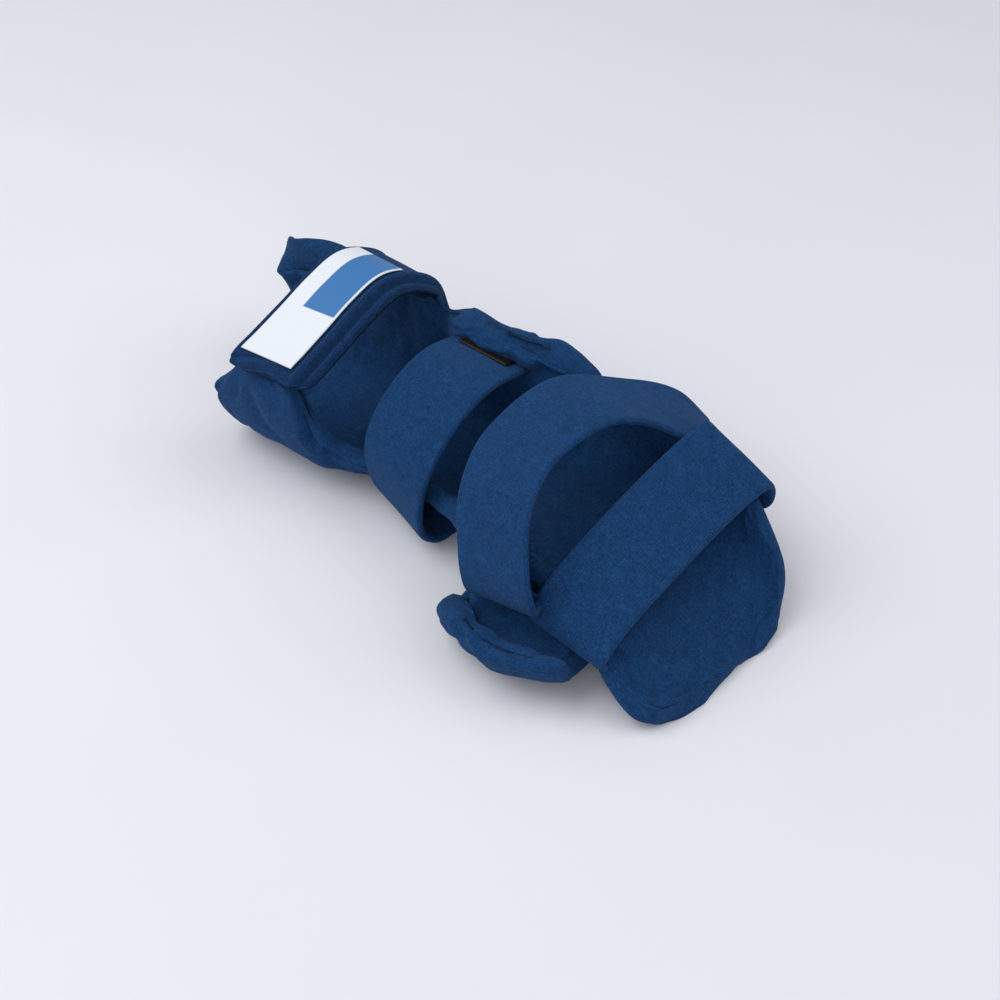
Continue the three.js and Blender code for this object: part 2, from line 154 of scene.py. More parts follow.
# Creases of the thumb cradle, read in the same way
thumbFoldRows = [
    # fold from the bowl to the notch under the round lobe next to the wrist
    [0.648, -0.19, 0.7, -0.8, 0.5, 0.34],
    [0.7, -0.8, 0.712, -1.12, 0.5, 0.3],
    [0.716, -1.12, 0.735, -1.4, 0.45, 0.35],
    # lower edge of the inner pad, along the top of the rim
    [0.712, -1.1, 0.746, -1.03, 0.34, 0.4],
    [0.746, -1.03, 0.815, -0.96, 0.34, 0.4],
    [0.815, -0.96, 0.85, -0.75, 0.34, 0.3],
    # the bowl, and the gathers outside
    [0.66, 0.1, 0.84, 0.1, 1.0, 0.25],
    [0.76, -1.3, 0.83, -1.42, 0.6, 0.14],
]
# Sections of the thumb cradle: at is a share of length, side and reach of halfWidth, up and rise of
# archHeight, pad of padThickness
thumbNames = "at side up reach rise curl pad"
thumbRows = [
    [0.612, 1.21, 0.36, 0.16, 0.22, 60, 1.25],
    [0.636, 1.27, 0.36, 0.29, 0.42, 76, 1.4],
    [0.69, 1.34, 0.4, 0.38, 0.58, 88, 1.45],
    [0.75, 1.38, 0.43, 0.41, 0.6, 90, 1.4],
    [0.81, 1.33, 0.49, 0.38, 0.55, 88, 1.2],
    [0.85, 1.26, 0.52, 0.34, 0.47, 84, 1],
    [0.868, 1.22, 0.54, 0.28, 0.38, 80, 0.85],
]
# Places along a strap: at is a share of its run, along, across and up are shares of length, halfWidth
# and wallHeight, and yaw and tilt are in degrees
strapNames = "at along across up yaw tilt"


def columns(names, rows):
    # a table of rows turned into one array for each named column
    return dict(zip(names.split(), np.array(rows, float).T))


def readColumn(table, key, place):
    # cubic through the rows: each row's slope is that between its two neighbours
    at, value = table["at"], table[key]
    before, after = np.maximum(np.arange(len(at)) - 1, 0), np.minimum(np.arange(len(at)) + 1, len(at) - 1)
    slope = (value[after] - value[before]) / (at[after] - at[before])
    k = np.clip(np.searchsorted(at, place, side="right") - 1, 0, len(at) - 2)
    span, rise = at[k + 1] - at[k], value[k + 1] - value[k]
    t = (place - at[k]) / span
    s0, s1 = slope[k] * span, slope[k + 1] * span
    return value[k] + t * (s0 + t * (3 * rise - 2 * s0 - s1 + t * (s0 + s1 - 2 * rise)))


def sectionOffset(share, reach, rise, curl):
    # a quarter of a rounded square on each side: across goes with the sine and up with one less the
    # cosine of the share's angle, both raised to 2 / squareness
    def squared(value):
        return np.sign(value) * np.abs(value) ** (2 / splint["squareness"])

    end = np.radians(curl)
    angle = np.abs(share) * end
    width = np.where(end > np.pi / 2, reach, reach / squared(np.sin(end)))
    height = rise / (1 - squared(np.cos(end)))
    return np.sign(share) * width * squared(np.sin(angle)), height * (1 - squared(np.cos(angle)))


base = columns(baseNames, baseRows)
folds = columns(foldNames, foldRows)
thumb = columns(thumbNames, thumbRows)
thumbFolds = columns(foldNames, thumbFoldRows)


def basePoint(place, share):
    # middle surface of the base: the section's offset on the floor line. A wall leads by its lead times
    # twice the share squared, less the rim's return times the share's fifth power
    read = {key: readColumn(base, key, place) for key in baseNames.split()[1:]}
    side = {
        key: np.where(share >= 0, read["far" + key], read["near" + key])
        for key in ("Reach", "Rise", "Curl", "Lead")
    }
    reach, rise = side["Reach"] * splint["halfWidth"], side["Rise"] * splint["wallHeight"]
    across, up = sectionOffset(share, reach, rise, side["Curl"])
    top = np.abs(share)
    lead = side["Lead"] * 2 * top**2 * (1 - splint["rimReturn"] * top**5)
    lift = read["pad"] * splint["padThickness"] / 2 - splint["restSink"]
    floor = read["floor"] * splint["archHeight"] + lift
    return np.stack([(place + lead) * splint["length"], across, floor + up], -1)


def thumbPoint(place, share):
    # middle surface of the cradle: the section's offset from a line beside the base
    read = {key: readColumn(thumb, key, place) for key in thumbNames.split()[1:]}
    reach, rise = read["reach"] * splint["halfWidth"], read["rise"] * splint["archHeight"]
    across, up = sectionOffset(share, reach, rise, read["curl"])
    beside, above = read["side"] * splint["halfWidth"], read["up"] * splint["archHeight"]
    return np.stack([place * splint["length"], across - beside, above + up], -1)


def foldDepth(folds, across, place, over):
    # a fold is its depth times e to the minus square of the distance from its line over its width.
    # The deepest valley counts, and ridges, whose depth is below 0, are added to it
    p = np.stack([place * splint["length"], over * across], -1)[..., None, :]
    a = np.stack([folds["fromAt"] * splint["length"], folds["fromOver"] * across], -1)
    line = np.stack([folds["toAt"] * splint["length"], folds["toOver"] * across], -1) - a
    t = np.clip(((p - a) * line).sum(-1) / (line**2).sum(-1), 0, 1)
    gap = np.linalg.norm(p - a - t[..., None] * line, axis=-1) / (folds["width"] * splint["padThickness"])
    bell = np.exp(-(gap**2))
    valleys = (folds["depth"] * splint["padThickness"] * bell).max(-1, initial=0.0)
    return valleys + (np.minimum(folds["depth"], 0) * splint["padThickness"] * bell).sum(-1)


def strapPoint(table, width, run, share):
    # a line across the strap, turned in plan by yaw and about its length by tilt, carried along its run
    read = {key: readColumn(table, key, run) for key in strapNames.split()[1:]}
    yaw, tilt = np.radians(read["yaw"]), np.radians(read["tilt"])
    half = share * width / 2
    return np.stack(
        [
            read["along"] * splint["length"] - half * np.cos(tilt) * np.cos(yaw),
            read["across"] * splint["halfWidth"] - half * np.cos(tilt) * np.sin(yaw),
            read["up"] * splint["wallHeight"] + half * np.sin(tilt),
        ],
        -1,
    )


def edgedGrid(shape, crowd):
    # from 0 to 1 along and from -1 to 1 across. Each step is part even and part cosine, and the cosine's
    # part, crowd, draws the steps towards both ends
    steps = []
    for count, part in zip(shape, crowd):
        t = np.linspace(0, 1, count)
        steps.append((1 - part) * t + part * (1 - np.cos(np.pi * t)) / 2)
    return np.meshgrid(steps[0], steps[1] * 2 - 1, indexing="ij")


def arcLength(points, axis):
    # distance along the grid from its first line
    step = np.linalg.norm(np.diff(points, axis=axis), axis=-1)
    return np.concatenate([np.zeros_like(np.take(step, [0], axis)), np.cumsum(step, axis)], axis)


def normalsOf(points):
    # cross product of the grid's two directions, made unit length
    n = np.cross(np.gradient(points, axis=0), np.gradient(points, axis=1))
    return n / np.linalg.norm(n, axis=-1, keepdims=True)


def rimShare(distance, rim, thinnest=0.03):
    # a quarter circle: from nearly 0 at the edge to 1 past the rim
    t = np.clip(distance / rim, 0, 1)
    return np.maximum(thinnest, np.sqrt(1 - (1 - t) ** 2))


def smoothNoise(u, v, scale, seed, count=8):
    # sum of slow waves in random directions, each 0.6 to 1.4 times as fast as the scale's, roughly -1 to 1
    made = np.random.default_rng(seed)
    angle, phase, stretch = made.uniform(0, 2 * np.pi, (3, count))
    wave = 2 * np.pi / scale * (0.6 + 0.8 * stretch / (2 * np.pi))
    total = np.sin(u[..., None] * np.cos(angle) * wave + v[..., None] * np.sin(angle) * wave + phase)
    return total.sum(-1) / (0.4 * count)


def closedShell(name, outer, inner):
    # two grids of points joined round their four sides: quads whose faces point outwards; the UV map
    # is the distance along and across the outer grid, in metres
    nu, nv = outer.shape[:2]
    count = nu * nv
    index = np.arange(count).reshape(nu, nv)
    a, b = index[:-1, :-1].ravel(), index[1:, :-1].ravel()
    c, d = index[1:, 1:].ravel(), index[:-1, 1:].ravel()
    quads = [np.stack([a, b, c, d], 1), np.stack([a, d, c, b], 1) + count]
    ring = np.concatenate([index[:, 0], index[-1, 1:], index[-2::-1, -1], index[0, -2:0:-1]])
    after = np.roll(ring, -1)
    quads.append(np.stack([after, ring, ring + count, after + count], 1))
    quads = np.concatenate(quads).astype(np.int32)
    points = np.concatenate([outer.reshape(-1, 3), inner.reshape(-1, 3)]) / 1000
    mesh = bpy.data.meshes.new(name)
    mesh.vertices.add(len(points))
    mesh.vertices.foreach_set("co", points.astype(np.float32).ravel())
    mesh.loops.add(quads.size)
    mesh.loops.foreach_set("vertex_index", quads.ravel())
    mesh.polygons.add(len(quads))
    mesh.polygons.foreach_set("loop_start", np.arange(0, quads.size, 4, dtype=np.int32))
    mesh.update(calc_edges=True)
    mesh.polygons.foreach_set("use_smooth", np.ones(len(quads), bool))
    along, over = arcLength(outer, 0) / 1000, arcLength(outer, 1) / 1000
    flat = np.stack([along, over], -1).reshape(-1, 2)
    flat = np.concatenate([flat, flat])[quads.ravel()]
    mesh.uv_layers.new(name="clothMap").data.foreach_set("uv", flat.astype(np.float32).ravel())
    made = bpy.data.objects.new(name, mesh)
    bpy.context.scene.collection.objects.link(made)
    return made


def spread(field, shape):
    # a coarse grid of values carried to a finer one by cubic weights between neighbours
    def weights(fine, coarse):
        at = np.linspace(0, coarse - 1, fine)
        k = np.clip(at.astype(int), 0, coarse - 2)
        t = at - k
        table = np.zeros((fine, coarse))
        parts = [
            -t / 2 + t**2 - t**3 / 2,
            1 - 2.5 * t**2 + 1.5 * t**3,
            t / 2 + 2 * t**2 - 1.5 * t**3,
            (t**3 - t**2) / 2,
        ]
        for step, part in zip((-1, 0, 1, 2), parts):
            np.add.at(table, (np.arange(fine), np.clip(k + step, 0, coarse - 1)), part)
        return table

    rows, cols = weights(shape[0], field.shape[0]), weights(shape[1], field.shape[1])
    return np.einsum("fc,cdk,gd->fgk", rows, field, cols)


# Cloth simulation that fills the padding out
puff = {
    "quality": 6,
    "mass": 0.25,
    "pressure": 3.0,
    "tension": 12,
    "bending": 0.8,
    "hold": 0.6,
    "shrink": -0.03,
    "frames": 18,
    "firm": 1.0,  # how far the cloth is held at an edge, beside it and further in
    "loose": 0.4,
    "free": 0.1,
    "leastRim": 0.15,  # least share of the thickness at an edge while it is simulated
}


def swell(name, outer, inner, pinned, settings, cap):
    # a coarse closed shell under pressure; the result is how far each point of the two grids has moved,
    # bent over by the hyperbolic tangent so that it stays below the cap
    nu, nv = outer.shape[:2]
    made = closedShell(name, outer, inner)
    group = made.vertex_groups.new(name="held")
    held = np.concatenate([pinned.ravel(), pinned.ravel()])
    for level in np.unique(held):
        group.add(np.flatnonzero(held == level).tolist(), float(level), "REPLACE")
    cloth = made.modifiers.new("puff", "CLOTH")
    cloth.settings.quality = settings["quality"]
    cloth.settings.mass = settings["mass"]
    cloth.settings.tension_stiffness = settings["tension"]
    cloth.settings.compression_stiffness = settings["tension"]
    cloth.settings.shear_stiffness = settings["tension"] / 2
    cloth.settings.bending_stiffness = settings["bending"]
    cloth.settings.use_pressure = True
    cloth.settings.uniform_pressure_force = settings["pressure"]
    cloth.settings.effector_weights.gravity = 0.0
    cloth.settings.vertex_group_mass = "held"
    cloth.settings.pin_stiffness = settings["hold"]
    cloth.settings.shrink_min = settings["shrink"]
    cloth.collision_settings.use_collision = False
    cloth.point_cache.frame_start, cloth.point_cache.frame_end = 1, settings["frames"]
    scene = bpy.context.scene
    for step in range(1, settings["frames"] + 1):
        scene.frame_set(step)
    shape = made.evaluated_get(bpy.context.evaluated_depsgraph_get()).to_mesh()
    co = np.zeros(len(shape.vertices) * 3, np.float32)
    shape.vertices.foreach_get("co", co)
    moved = co.reshape(2, nu, nv, 3) * 1000 - np.stack([outer, inner])
    scene.frame_set(1)
    bpy.data.objects.remove(made)
    far = np.linalg.norm(moved, axis=-1, keepdims=True)
    print("   ", name, "moved up to", round(float(far.max()), 2), "mm, mean", round(float(far.mean()), 2))
    return moved / np.maximum(far, 1e-6) * cap * np.tanh(far / cap)


# Padded base: forearm trough, palm and finger pan as one sewn piece
basePad = {
    "grid": (300, 150),
    "coarse": (76, 44),  # grid that is simulated
    "crowd": (0.35, 0.6),
    "cap": 3.0,  # the furthest that the cloth moves, millimetres
    "held": (4, 9),  # millimetres from the edge that are held firmly and loosely
    "waves": [(0.45, 42, 3), (0.14, 15, 4)],  # unevenness: height and size in millimetres, and its seed
    "calm": 12,  # millimetres from the edge over which it starts
}


def padSkins(points, depth, rims):
    # the two skins lie half a thickness each side of the middle surface, thinned round the rims
    half = normalsOf(points) * (depth * rims / 2)[..., None]
    return points + half, points - half


def smoothed(field, rounds):
    # each value replaced by the mean of itself and its four neighbours, a few times over
    for step in range(rounds):
        f = np.pad(field, ((1, 1), (1, 1), (0, 0)), "edge")
        field = (f[1:-1, 1:-1] + f[:-2, 1:-1] + f[2:, 1:-1] + f[1:-1, :-2] + f[1:-1, 2:]) / 5
    return field


def pressed(skin, points, share, rims, depth, outwards, rounds=4):
    # a skin moved inwards by a depth: along the middle surface's normal, turning towards the middle of
    # the piece round a rim, as the normal of a round edge does
    across = np.gradient(points, axis=1) * np.sign(share)[..., None]
    across = across / np.linalg.norm(across, axis=-1, keepdims=True)
    facing = outwards * normalsOf(points) * rims[..., None] + across * np.sqrt(1 - rims**2)[..., None]
    return skin - smoothed(facing * depth[..., None], rounds)


def paddedGrid(place, share, points, depth, rim):
    # adds the thinning at the edges, the distances along and across, and that from the nearest edge
    over, along = arcLength(points, 1), arcLength(points, 0)
    edge = np.minimum(over, over[:, -1:] - over)
    ends = np.minimum(along, along[-1:, :] - along)
    rims = rimShare(edge, rim) * rimShare(ends, splint["padRim"])
    return place, share, points, depth, rims, (along, over), np.minimum(edge, ends)


def baseGrid(shape):
    # the corners of the forearm end are drawn in by a quarter of an ellipse, and the far rim is thicker
    # by the lip with the cube of the share
    at, share = edgedGrid(shape, basePad["crowd"])
    past = np.clip((np.abs(share) - splint["cornerFrom"]) / (1 - splint["cornerFrom"]), 0, 1)
    drawn = np.where(share < 0, *splint["cornerDraw"]) * (1 - np.sqrt(1 - past**2))
    start = base["at"][0] + drawn
    place = start + (base["at"][-1] - start) * at
    lip = 1 + (readColumn(base, "lip", place) - 1) * np.maximum(0, share) ** 3
    depth = readColumn(base, "pad", place) * splint["padThickness"] * lip
    return paddedGrid(place, share, basePoint(place, share), depth, splint["padRim"] * lip)


def pressFlat(points):
    # nothing is lower than the surface that the splint rests on
    return np.stack([points[..., 0], points[..., 1], np.maximum(points[..., 2], 0.0)], -1)


def makePadded(name, settings, gridOf, creases, width):
    # two skins half a thickness each side of the middle surface, moved as the simulation moved them,
    # then pressed in by the folds and out by the unevenness
    moved = None
    place, share, points, depth, rims, arcs, edge = gridOf(settings["coarse"])
    inner, outer = padSkins(points, depth, np.maximum(rims, puff["leastRim"]))
    firm, loose = settings["held"]
    held = np.where(edge < firm, puff["firm"], np.where(edge < loose, puff["loose"], puff["free"]))
    turned = outer[:, ::-1], inner[:, ::-1], held[:, ::-1]
    moved = swell(name + "Puff", *turned, puff, settings["cap"])[:, :, ::-1]
    place, share, points, depth, rims, arcs, edge = gridOf(settings["grid"])
    inner, outer = padSkins(points, depth, rims)
    if moved is not None:
        outer = outer + spread(moved[0], settings["grid"])
        inner = inner + spread(moved[1], settings["grid"])
    wave = sum(height * smoothNoise(*arcs, size, seed) for height, size, seed in settings["waves"])
    wave = wave * np.clip(edge / settings["calm"], 0, 1)
    beyond = np.where(share < 0, -2 - share, 2 - share)
    inner = pressed(inner, points, share, rims, foldDepth(creases, width, place, share) - wave, 1)
    outer = pressed(outer, points, share, rims, foldDepth(creases, width, place, beyond) - wave, -1)
    return closedShell(name, pressFlat(outer[:, ::-1]), pressFlat(inner[:, ::-1]))


paddedBase = makePadded("padded_base", basePad, baseGrid, folds, 2 * splint["halfWidth"])
print("stage: padded base")


# Thumb cradle
thumbPad = {
    "grid": (120, 90),
    "coarse": (30, 26),
    "crowd": (0.6, 0.6),
    "cap": 2.5,
    "held": (3, 7),
    "waves": [(0.35, 26, 5)],
    "calm": 8,
}


def thumbGrid(shape):
    # straight from the first section to the last
    at, share = edgedGrid(shape, thumbPad["crowd"])
    place = thumb["at"][0] + (thumb["at"][-1] - thumb["at"][0]) * at
    depth = readColumn(thumb, "pad", place) * splint["padThickness"]
    return paddedGrid(place, share, thumbPoint(place, share), depth, splint["padRim"])


thumbRest = makePadded("thumb_cradle", thumbPad, thumbGrid, thumbFolds, splint["archHeight"])
print("stage: thumb cradle")


# Straps, from the thumb side to the little-finger side
forearmStrap = {
    "topWidth": 46.0,  # the top layer; the one under it stands out towards the fingers
    "width": 52.0,  # both layers
    "offset": -3.0,  # how far their middle lies from the top layer's
    "thickness": 7.0,
    "edgeRound": 3.0,  # length over which the edges round off
    "wave": 0.2,  # height of the unevenness
    "grid": (170, 90),
    "span": (0.0, 1.0),
    "corners": (0.08, 0.36),  # rounded near corners, as shares of the run and of the half width
    "rows": [
        [0, 0.1375, -1.13, 0.905, 12, 0],
        [0.1, 0.138, -1.04, 0.965, 9, 0],
        [0.22, 0.139, -0.8, 1.025, 5, 0],
        [0.36, 0.14, -0.44, 1.12, 2, 0],
        [0.5, 0.14, -0.06, 1.22, 0, 0],
        [0.64, 0.14, 0.34, 1.28, 0, 0],
        [0.76, 0.141, 0.7, 1.21, 0, 0],
        [0.88, 0.142, 1.03, 1.05, 0, 2],
        [1, 0.144, 1.18, 0.76, 0, 4],
    ],
}
wristStrap = {
    "width": 50.0,
    "thickness": 4.0,
    "edgeRound": 2.0,
    "wave": 0.5,
    "grid": (150, 40),
    "span": (0.0, 1.0),
    "rows": [
        [0, 0.395, -0.3, 0.055, -8, 4],
        [0.1, 0.395, -0.58, 0.075, -12, 4],
        [0.2, 0.395, -0.77, 0.22, -15, 2],
        [0.36, 0.394, -0.8, 0.54, -8, 0],
        [0.5, 0.392, -0.6, 0.75, -2, 0],
        [0.68, 0.39, -0.16, 0.93, 0, 0],
        [0.85, 0.388, 0.28, 0.99, 0, 0],
        [1, 0.382, 0.84, 0.9, 0, 0],
    ],
}
handStrap = {
    "width": 48.0,
    "thickness": 4.0,
    "edgeRound": 2.0,
    "wave": 0.5,
    "grid": (170, 40),
    "span": (0.0, 1.0),
    "farCorners": (0.05, 0.25),
    "rows": [
        [0, 0.7, -1.14, 0.47, -2, -8],
        [0.05, 0.716, -1.34, 0.43, -2, -14],
        [0.1, 0.718, -1.43, 0.53, -2, -18],
        [0.2, 0.702, -1.38, 0.72, -2, -17],
        [0.36, 0.656, -1.05, 0.97, -2, -13],
        [0.5, 0.623, -0.437, 1.091, -3.6, -8],
        [0.68, 0.628, 0.413, 1.129, -14, -3],
        [0.83, 0.679, 1.013, 1.01, -37, -9],
        [0.92, 0.733, 1.356, 0.872, -38, -2],
        [1, 0.774, 1.604, 0.667, -35, -5],
    ],
}
fingerStrap = {
    "width": 47.0,
    "thickness": 4.0,
    "edgeRound": 2.0,
    "wave": 0.5,
    "grid": (170, 40),
    "span": (0.0, 1.0),
    "farCorners": (0.1, 0.4),
    "rows": [
        [0, 0.838, -1.12, 0.27, 0, 5],
        [0.08, 0.84, -1.28, 0.38, 0, 7],
        [0.18, 0.842, -1.16, 0.5, 0, 10],
        [0.32, 0.842, -0.76, 0.61, 0, 14],
        [0.5, 0.842, 0, 0.73, 0, 18],
        [0.7, 0.845, 0.84, 0.84, 0, 22],
        [0.82, 0.85, 1.22, 0.86, 0, 23],
        [0.88, 0.85, 1.32, 0.8, 0, 23],
        [0.94, 0.85, 1.35, 0.69, 0, 22],
        [1, 0.85, 1.33, 0.56, 0, 20],
    ],
}
# Small flat pieces on the straps: span is their run along the strap that they follow
strapLabelPatch = {"width": 34.0, "thickness": 1.0, "grid": (110, 40), "span": (0.122, 0.74), "offset": 1.5}
wristHookPatch = {"width": 34.0, "thickness": 1.5, "grid": (40, 40), "span": (0.935, 1.0)}
handHookTab = {"width": 26.0, "thickness": 1.6, "grid": (30, 30), "span": (0.9, 0.99)}
fingerHookTab = {"width": 26.0, "thickness": 1.6, "grid": (30, 30), "span": (0.9, 0.99)}
clearance = 0.3  # millimetres between pieces that lie against each other
strapEdge = 0.12  # least share of the thickness at an edge
strapCrowd = (0.3, 0.5)
strapWave = {"size": 60, "seed": 7}  # the unevenness of all straps, in millimetres
# Rolls of the forearm strap's bound edge, in millimetres from the edge: height, middle and width
bound = {
    "ledge": 5.5,  # how far the lower layer stands out
    "drop": 3.6,  # how far it lies below the top one
    "slope": 1.6,  # width of the step between them
    "nearShift": 3.2,  # the near end is read as this much further in
    "rolls": [(0.9, 3.0, 1.5), (1.8, 9.1, 2.2), (-0.9, 12.7, 0.8)],
    "backRoll": (0.7, 2.4, 1.4),
}


def cornered(run, corners):
    # share of the half width that is left at a run from the end: a quarter of an ellipse
    past = np.maximum(0, 1 - run / corners[0])
    return 1 - corners[1] * (1 - np.sqrt(1 - past**2))


def layerOnStrap(name, strap, piece, lift, profile=None):
    # two skins above the strap's middle surface: lift is the lower one, and the profile adds to the upper
    table = columns(strapNames, strap["rows"])
    run, share = edgedGrid(piece["grid"], strapCrowd)
    run = piece["span"][0] + (piece["span"][1] - piece["span"][0]) * run
    share = share * cornered(run, piece.get("corners", (1.0, 0.0)))
    share = share * cornered(1 - run, piece.get("farCorners", (1.0, 0.0)))
    width = strap.get("topWidth", strap["width"])
    share = (share * piece["width"] + 2 * piece.get("offset", 0.0)) / width
    points = strapPoint(table, width, run, share)
    over, along = arcLength(points, 1), arcLength(points, 0)
    edge = np.minimum(over, over[:, -1:] - over)
    ends = np.minimum(along, along[-1:, :] - along)
    size = [round(float(reach.mean()), 1) for reach in (along[-1], over[:, -1])]
    print("   ", name, "is %s mm long and %s mm wide" % tuple(size))
    half, edgeRound = piece["thickness"] / 2, piece.get("edgeRound", 1.0)
    rounding = rimShare(edge, edgeRound, strapEdge) * rimShare(ends, edgeRound, strapEdge)
    wave = piece.get("wave", 0.0) * smoothNoise(along, over, strapWave["size"], strapWave["seed"])
    middle = lift + half + wave
    extra = profile(along, over) if profile else 0.0
    normal = normalsOf(points)
    upper = points + normal * (middle + half * rounding + extra)[..., None]
    lower = points + normal * (middle - half * rounding)[..., None]
    return closedShell(name, upper, lower)


def boundEdge(along, over):
    # a smooth step up from the lower layer to the top one, along the near end and the fingertip side, and
    # rolls beside it: each is its height times e to the minus square of the distance over its width
    def roll(distance, height, middle, width):
        return height * np.exp(-(((distance - middle) / width) ** 2))

    front = np.minimum(over, along + bound["nearShift"])
    step = np.clip((front - bound["ledge"]) / bound["slope"], 0, 1)
    top = bound["drop"] * (step**2 * (3 - 2 * step) - 1)
    rolls = sum(roll(front, *each) for each in bound["rolls"])
    return top + rolls + roll(over[:, -1:] - over, *bound["backRoll"])


def makeStrap(name, strap, profile=None):
    # half of the thickness lies above the strap's middle surface and half below
    return layerOnStrap(name, strap, strap, -strap["thickness"] / 2, profile)


def overStrap(name, strap, piece):
    # the lower skin lies a clearance above the strap
    return layerOnStrap(name, strap, piece, strap["thickness"] / 2 + clearance)


def underStrap(name, strap, piece):
    # the upper skin lies a clearance below the strap
    return layerOnStrap(name, strap, piece, -strap["thickness"] / 2 - clearance - piece["thickness"])


forearmPiece = makeStrap("forearm_strap_cloth", forearmStrap, boundEdge)
wristPiece = makeStrap("wrist_strap_cloth", wristStrap)
handPiece = makeStrap("hand_strap_cloth", handStrap)
fingerPiece = makeStrap("finger_strap_cloth", fingerStrap)
labelPiece = overStrap("label_cloth_patch", forearmStrap, strapLabelPatch)
hookPiece = overStrap("wrist_hook_tape", wristStrap, wristHookPatch)
handTabPiece = underStrap("hand_hook_tape", handStrap, handHookTab)
fingerTabPiece = underStrap("finger_hook_tape", fingerStrap, fingerHookTab)
print("stage: straps")


# Materials
def linear(hexColour):
    # sRGB hex to linear: the usual curve for each channel
    value = np.array([int(hexColour[k : k + 2], 16) for k in (1, 3, 5)]) / 255
    flat = np.where(value <= 0.04045, value / 12.92, ((value + 0.055) / 1.055) ** 2.4)
    return (*flat.tolist(), 1.0)


def addNode(tree, kind, inputs=None, **settings):
    # one node: inputs gives an output to link or a constant for each socket, by its name or number, and
    # settings are the node's own properties
    node = tree.nodes.new(kind)
    for key, value in settings.items():
        setattr(node, key, value)
    for key, value in (inputs or {}).items():
        if isinstance(value, bpy.types.NodeSocket):
            tree.links.new(value, node.inputs[key])
        else:
            node.inputs[key].default_value = value
    return node


def newMaterial(name):
    made = bpy.data.materials.new(name)
    made.use_nodes = True
    made.node_tree.nodes.clear()
    return made, made.node_tree


waveScale = 314.16  # scale of a wave texture whose bands are 1 mm apart

# Brushed loop knit, polyester over foam: matt, with a short nap that lightens where it faces the light,
# and wales that show as a fine rib along the cloth
knit = {
    "deep": "#0a2749",
    "body": "#113863",
    "lit": "#1a4a7c",
    "wale": 1.5,  # millimetres, drawn coarser than the real 1.0 so that the rib shows
    "course": 1.2,
    "nap": 1.2,
    "fluff": 5.0,  # size of the slightly lighter places in the nap
    "fluffShare": 0.3,  # how much they, and the loops, add to the nap's tone
    "loopShare": 0.14,
    "tones": (0.44, 0.94),  # what counts as deepest and as lightest
    "rib": 0.3,
    "ribHeight": 0.0005,  # metres
    "fuzz": 0.75,
    "fuzzHeight": 0.0008,
    "roughness": 0.95,
    "specular": 0.15,
    "sheen": 0.15,
    "sheenTint": "#6f9bd0",
}


def brushedKnit(name, settings):
    # loops are wales times courses; the tone is the nap's noise plus shares of the fluff and the loops
    made, tree = newMaterial(name)
    cloth = addNode(tree, "ShaderNodeUVMap", uv_map="clothMap").outputs["UV"]
    place = addNode(tree, "ShaderNodeTexCoord").outputs["Object"]
    fluff = addNode(
        tree,
        "ShaderNodeTexNoise",
        {"Vector": place, "Scale": 1000 / settings["fluff"], "Detail": 2.0, "Roughness": 0.5},
    ).outputs["Fac"]
    nap = addNode(
        tree,
        "ShaderNodeTexNoise",
        {"Vector": place, "Scale": 1000 / settings["nap"], "Detail": 3.0, "Roughness": 0.75},
    ).outputs["Fac"]
    wales = addNode(
        tree,
        "ShaderNodeTexWave",
        {"Vector": cloth, "Scale": waveScale / settings["wale"], "Distortion": 1.0, "Detail": 1.0},
        bands_direction="Y",
    ).outputs["Fac"]
    courses = addNode(
        tree,
        "ShaderNodeTexWave",
        {"Vector": cloth, "Scale": waveScale / settings["course"], "Distortion": 2.0, "Detail": 1.0},
        bands_direction="X",
    ).outputs["Fac"]
    loops = addNode(tree, "ShaderNodeMath", {0: wales, 1: courses}, operation="MULTIPLY").outputs[0]
    soft = addNode(tree, "ShaderNodeMath", {0: fluff, 1: settings["fluffShare"]}, operation="MULTIPLY")
    fine = addNode(tree, "ShaderNodeMath", {0: loops, 1: settings["loopShare"]}, operation="MULTIPLY")
    both = addNode(tree, "ShaderNodeMath", {0: soft.outputs[0], 1: fine.outputs[0]}, operation="ADD")
    mixed = addNode(tree, "ShaderNodeMath", {0: both.outputs[0], 1: nap}, operation="ADD")
    low, high = settings["tones"]
    tone = addNode(
        tree, "ShaderNodeMapRange", {"Value": mixed.outputs[0], "From Min": low, "From Max": high}
    )
    colour = addNode(tree, "ShaderNodeValToRGB", {"Fac": tone.outputs["Result"]})
    colour.color_ramp.elements.new(0.5)
    for stop, shade in zip(colour.color_ramp.elements, ("deep", "body", "lit")):
        stop.color = linear(settings[shade])
    rib = addNode(
        tree,
        "ShaderNodeBump",
        {"Height": loops, "Strength": settings["rib"], "Distance": settings["ribHeight"]},
    ).outputs["Normal"]
    fuzz = addNode(
        tree,
        "ShaderNodeBump",
        {"Height": nap, "Normal": rib, "Strength": settings["fuzz"], "Distance": settings["fuzzHeight"]},
    ).outputs["Normal"]
    shader = addNode(
        tree,
        "ShaderNodeBsdfPrincipled",
        {
            "Base Color": colour.outputs["Color"],
            "Normal": fuzz,
            "Roughness": settings["roughness"],
            "IOR": 1.5,
            "Specular IOR Level": settings["specular"],
            "Sheen Weight": settings["sheen"],
            "Sheen Roughness": 0.5,
            "Sheen Tint": linear(settings["sheenTint"]),
        },
    )
    addNode(tree, "ShaderNodeOutputMaterial", {"Surface": shader.outputs["BSDF"]})
    return made


